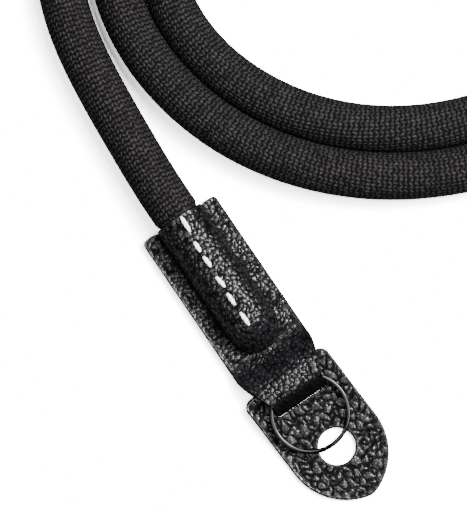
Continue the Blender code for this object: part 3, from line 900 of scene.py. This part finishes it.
def make_stitches(letter, finish):
    """Six stitches of thread along the dome: three strands twisted round each other, from hole to hole.

    A stitch's line lies 0.2 mm over the dome and dips by 0.7 mm times |2s - 1|^7 into its holes, s running
    from 0 to 1 along it. Its radius is the thread's times 1 - 0.72 |2s - 1|^2.6. Its outline has three round
    lobes that turn along it, and is 0.8 as high as wide.
    """
    around, lift, sink = 18, 0.00020, 0.0007
    points, quads, start = [], [], 0
    outer = SQUEEZED_RADIUS + POCKET_CLEARANCE + LEATHER
    for (x0, y0), (x1, y1) in STITCHES:
        s = np.linspace(0.0, 1.0, 34)[:, None]
        t = np.linspace(0.0, 2 * math.pi, around, endpoint=False)[None, :]
        x, y = x0 + (x1 - x0) * s, y0 + (y1 - y0) * s
        closing = np.sqrt(1 - np.clip((x - DOME_STRAIGHT) / DOME_CLOSING, 0.0, 1.0) ** 2)
        surface = FLANGE_MIDDLE + closing * (POCKET_HEIGHT - FLANGE_MIDDLE + np.sqrt(outer**2 - y**2))
        z = surface + lift - sink * np.abs(2 * s - 1) ** 7
        thick = STITCH_RADIUS * (1 - 0.72 * np.abs(2 * s - 1) ** 2.6)
        lobes = thick * (1 + 0.13 * np.cos(3 * t - 2 * math.pi * (x1 - x0) * s / STITCH_TWIST))
        way = np.array([x1 - x0, y1 - y0]) / math.hypot(x1 - x0, y1 - y0)
        px = x - way[1] * lobes * np.cos(t)
        py = y + way[0] * lobes * np.cos(t)
        pz = z + 0.8 * lobes * np.sin(t)
        rows = np.stack([px, py, pz], axis=-1)
        centre = np.stack([x, y, z], axis=-1)
        first, last = np.repeat(centre[:1], around, axis=1), np.repeat(centre[-1:], around, axis=1)
        rows = np.concatenate([first, rows, last])
        points.append(rows.reshape(-1, 3))
        quads.append(grid_quads(len(rows), around, True) + start)
        start += len(points[-1])
    points = placed(np.concatenate(points), letter)
    show("stitches_" + letter, points, np.concatenate(quads), finish, None)


# The lug guards


def arc(centre, radius, start, stop, count, last=False):
    """Points on an arc from one angle to another, without its last one unless asked for."""
    a = np.radians(np.linspace(start, stop, count, endpoint=last))
    return np.column_stack([centre[0] + radius * np.cos(a), centre[1] + radius * np.sin(a)])


def run_of(first, last, count):
    """Points on a straight line, without its last one."""
    share = np.linspace(0.0, 1.0, count, endpoint=False)[:, None]
    return np.array(first) * (1 - share) + np.array(last) * share


def guard_loops():
    """The guard's two regions, each an outer and an inner loop of as many points, real edges marked.

    A cut across the plate parts them: the upper region holds the slot, the lower one the round hole. The
    sides of the nose are arcs that leave the straight sides smoothly and meet the round tip.
    """
    w, r, tip, cut = GUARD_WIDTH / 2, GUARD_CORNER, GUARD_NOSE_ROUND, 0.0117
    long = GUARD_LENGTH - tip - GUARD_SIDE_LENGTH
    bow = (long**2 + w**2 - tip**2) / (2 * (w - tip))
    meet = math.degrees(math.atan2(bow - w, long))
    split = 120
    upper = np.vstack([
        run_of((cut, -w), (r, -w), 48), arc((r, r - w), r, 270, 180, 14),
        run_of((0, r - w), (0, w - r), 90), arc((r, w - r), r, 180, 90, 14),
        run_of((r, w), (cut, w), 48), run_of((cut, w), (cut, -w), split),
    ])
    c = SLOT_CORNER
    near, far, side = c, SLOT_LENGTH - c, SLOT_WIDTH / 2
    slot = np.vstack([
        run_of((far, -side), (near, -side), 48), arc((near, c - side), c, 270, 180, 14),
        run_of((0, c - side), (0, side - c), 90), arc((near, side - c), c, 180, 90, 14),
        run_of((near, side), (far, side), 48), arc((far, side - c), c, 90, 0, 14),
        run_of((far + c, side - c), (far + c, c - side), split - 28), arc((far, c - side), c, 0, -90, 14),
    ])
    back = math.radians(GUARD_TURN)
    x, y = slot[:, 0], slot[:, 1] - GUARD_SHIFT
    slot = np.column_stack([
        GUARD_BAR + x * math.cos(back) + y * math.sin(back), y * math.cos(back) - x * math.sin(back),
    ])
    lower = np.vstack([
        run_of((cut, -w), (cut, w), split), run_of((cut, w), (GUARD_SIDE_LENGTH, w), 36),
        arc((GUARD_SIDE_LENGTH, w - bow), bow, 90, meet, 66),
        arc((GUARD_LENGTH - tip, 0), tip, meet, -meet, 34),
        arc((GUARD_SIDE_LENGTH, bow - w), bow, -meet, -90, 66),
        run_of((GUARD_SIDE_LENGTH, -w), (cut, -w), 36),
    ])
    around = np.arctan2(lower[:, 1], lower[:, 0] - LUG_HOLE_PLACE)
    ring = LUG_HOLE / 2 * np.column_stack([np.cos(around), np.sin(around)])
    hole = ring + np.array([LUG_HOLE_PLACE, 0.0])
    upper_real = np.arange(len(upper)) < len(upper) - split
    lower_real = np.arange(len(lower)) >= split
    return [(upper, slot, upper_real), (lower, hole, lower_real)]


def rim_distance(places, loops):
    """How far each place lies from the nearest real edge, edges being chains of points."""
    nearest = np.full(len(places), 1.0)
    for chain in loops:
        for start in range(0, len(chain) - 1):
            a, b = chain[start], chain[start + 1]
            way = b - a
            share = np.clip(((places - a) @ way) / (way @ way), 0.0, 1.0)
            nearest = np.minimum(nearest, np.linalg.norm(places - a - share[:, None] * way, axis=1))
    return nearest


def make_guard(letter, finish):
    """The lug guard: a plate between its outline and its two holes, bent up over the tongue.

    Each region runs from its outer loop to its inner loop. The top and bottom faces drop to the edge on a
    quarter circle of the distance to the nearest edge, a plain wall joins them, and the bend lifts them all.
    The top sinks by the pebbles' depth times 1 - relief, less so near an edge. The pebbles are drawn on
    lengths squashed to 0.72, which makes them longer along the guard. The rim mark falls from 1 to 0 between
    0.16 and 0.36 mm from an edge.
    """
    plain_start, plain_run = 0.00022, 0.0009
    rim_start, rim_run = 0.00016, 0.0002
    steps = np.array([0.0, 0.00006, 0.00014, 0.00024, 0.00036, 0.0006])
    regions = guard_loops()
    real = [np.vstack([inner, inner[:1]]) for _, inner, _ in regions]
    for outer, _, kept in regions:
        after_last = (np.flatnonzero(kept)[-1] + 1) % len(outer)
        real.append(np.vstack([outer[kept], outer[after_last][None]]))
    all_points, all_quads, all_rims, all_crease_shades, start = [], [], [], [], 0
    for outer, inner, kept in regions:
        count = len(outer)
        length = np.linalg.norm(inner - outer, axis=1)
        mid = np.linspace(0.0, 1.0, 34)[1:-1, None]
        rows = np.vstack([
            np.repeat(steps[:, None], count, axis=1), steps[-1] + mid * (length - 2 * steps[-1]),
            length - np.repeat(steps[::-1, None], count, axis=1),
        ])
        share = (rows / length)[..., None]
        flat = outer[None] * (1 - share) + inner[None] * share
        away = rim_distance(flat.reshape(-1, 2), real).reshape(flat.shape[:2])
        drop = GUARD_EDGE * (1 - np.sqrt(1 - np.clip(1 - away / GUARD_EDGE, 0.0, 1.0) ** 2))
        lift = BAR_RAISE * (1 - eased((flat[..., 0] - GUARD_BAR) / GUARD_BEND))
        spots = np.dstack([GUARD_PEBBLE_SQUASH * flat[..., 0], flat[..., 1], np.zeros_like(away)])
        relief, crease = pebbles(spots, GUARD_PEBBLE, 11, GUARD_CREASE)
        plain = eased((away - plain_start) / plain_run)
        top = np.dstack([flat, lift + GUARD_THICKNESS - drop - GUARD_GRAIN_DEPTH * (1 - relief) * plain])
        bottom = np.dstack([flat, lift + drop])
        n = len(rows)
        size = n * count
        face = grid_quads(n, count, True)
        column = np.arange(count)
        after = (column + 1) % count
        wall = np.stack([column, after, size + after, size + column], axis=-1)[kept]
        last = (n - 1) * count
        well = last + np.stack([column, after, size + after, size + column], axis=-1)
        all_points += [top.reshape(-1, 3), bottom.reshape(-1, 3)]
        all_quads += [face + start, face[:, ::-1] + size + start, wall + start, well + start]
        all_rims += [away.ravel(), away.ravel()]
        # The top's crease mark: painted shade in the pebbles' creases, which also dulls the gloss there; none
        # below.
        all_crease_shades += [((1 - crease) * plain).ravel(), np.zeros(size)]
        start += 2 * size
    points = np.concatenate(all_points)
    turn = math.radians(GUARD_TURN)
    x, y = points[:, 0] - GUARD_BAR, points[:, 1]
    turned = np.column_stack([
        BAR_EDGE + x * math.cos(turn) - y * math.sin(turn),
        GUARD_SHIFT + x * math.sin(turn) + y * math.cos(turn),
        points[:, 2],
    ])
    rim = 1.0 - eased((np.concatenate(all_rims) - rim_start) / rim_run)
    marks = {"rim": rim, "flesh": np.zeros_like(rim), "crease": np.concatenate(all_crease_shades)}
    quads = np.concatenate(all_quads)
    show("guard_leather_" + letter, placed(turned, letter), quads, finish,
         "lug_guard_" + letter, marks=marks, sharp=60)


# The split rings


def make_ring(letter, finish):
    """The split ring: two turns of oval wire, one on the other, joined by a short step.

    The wire's section is an ellipse carried round two turns; its height changes on an eased step. Three rows
    at each end round it off.
    """
    step = math.radians(RING_STEP_HALF)
    angles = np.linspace(1.3 * step, 4 * math.pi - 1.3 * step, 300)
    share = eased((angles - (2 * math.pi - step)) / (2 * step))
    heights = (RING_COIL_HEIGHT + RING_COIL_GAP) * (share - 0.5)
    radius = (RING_DIAMETER - RING_WIRE_WIDTH) / 2
    t = np.linspace(0.0, 2 * math.pi, 20, endpoint=False)
    out = RING_WIRE_WIDTH / 2 * np.cos(t)
    up = RING_COIL_HEIGHT / 2 * np.sin(t)
    scale = np.concatenate([[0.0, 0.75, 0.93], np.ones(len(angles)), [0.93, 0.75, 0.0]])[:, None]
    close = np.array([0.0, 0.0, 0.00008]) / radius
    angles = np.concatenate([angles[0] - close[::-1], angles, angles[-1] + close])
    heights = np.concatenate([np.full(3, heights[0]), heights, np.full(3, heights[-1])])
    turned = (angles + math.radians(RING_STEP_ANGLE))[:, None]
    reach = radius + scale * out[None, :]
    level = heights[:, None] + scale * up[None, :]
    flat = np.stack([reach * np.cos(turned), reach * np.sin(turned), level], axis=-1)
    tilt = math.atan(RING_SLOPE)
    height = RING_HIGH_SEAT - RING_SLOPE * RING_PAST_BAR + RING_HEIGHT / 2
    x = RING_PLACE + flat[..., 0] * math.cos(tilt) + flat[..., 2] * math.sin(tilt)
    z = height - flat[..., 0] * math.sin(tilt) + flat[..., 2] * math.cos(tilt)
    points = np.stack([x, RING_SHIFT + flat[..., 1], z], axis=-1)
    quads = grid_quads(*points.shape[:2], True)
    show("ring_wire_" + letter, placed(points, letter), quads, finish, "split_ring_" + letter,
         sharp=50)


# The whole picture

make_camera()
make_light()
make_table(make_table_material())
make_rope(make_braid_material(braid_group()))
grain = pebble_group()
strap_leather = make_leather_material(
    "strap_leather", grain, cells=2100.0, depth=0.000045, shine=0.78, blur=0.30
)
guard_leather = make_leather_material(
    "guard_leather", grain, cells=1500.0, depth=0.000050, shine=0.55, blur=0.27
)
nickel = make_nickel_material()
thread = make_thread_material()
for letter in ENDS:
    make_leather_end(letter, strap_leather)
    make_stitches(letter, thread)
    make_guard(letter, guard_leather)
    make_ring(letter, nickel)
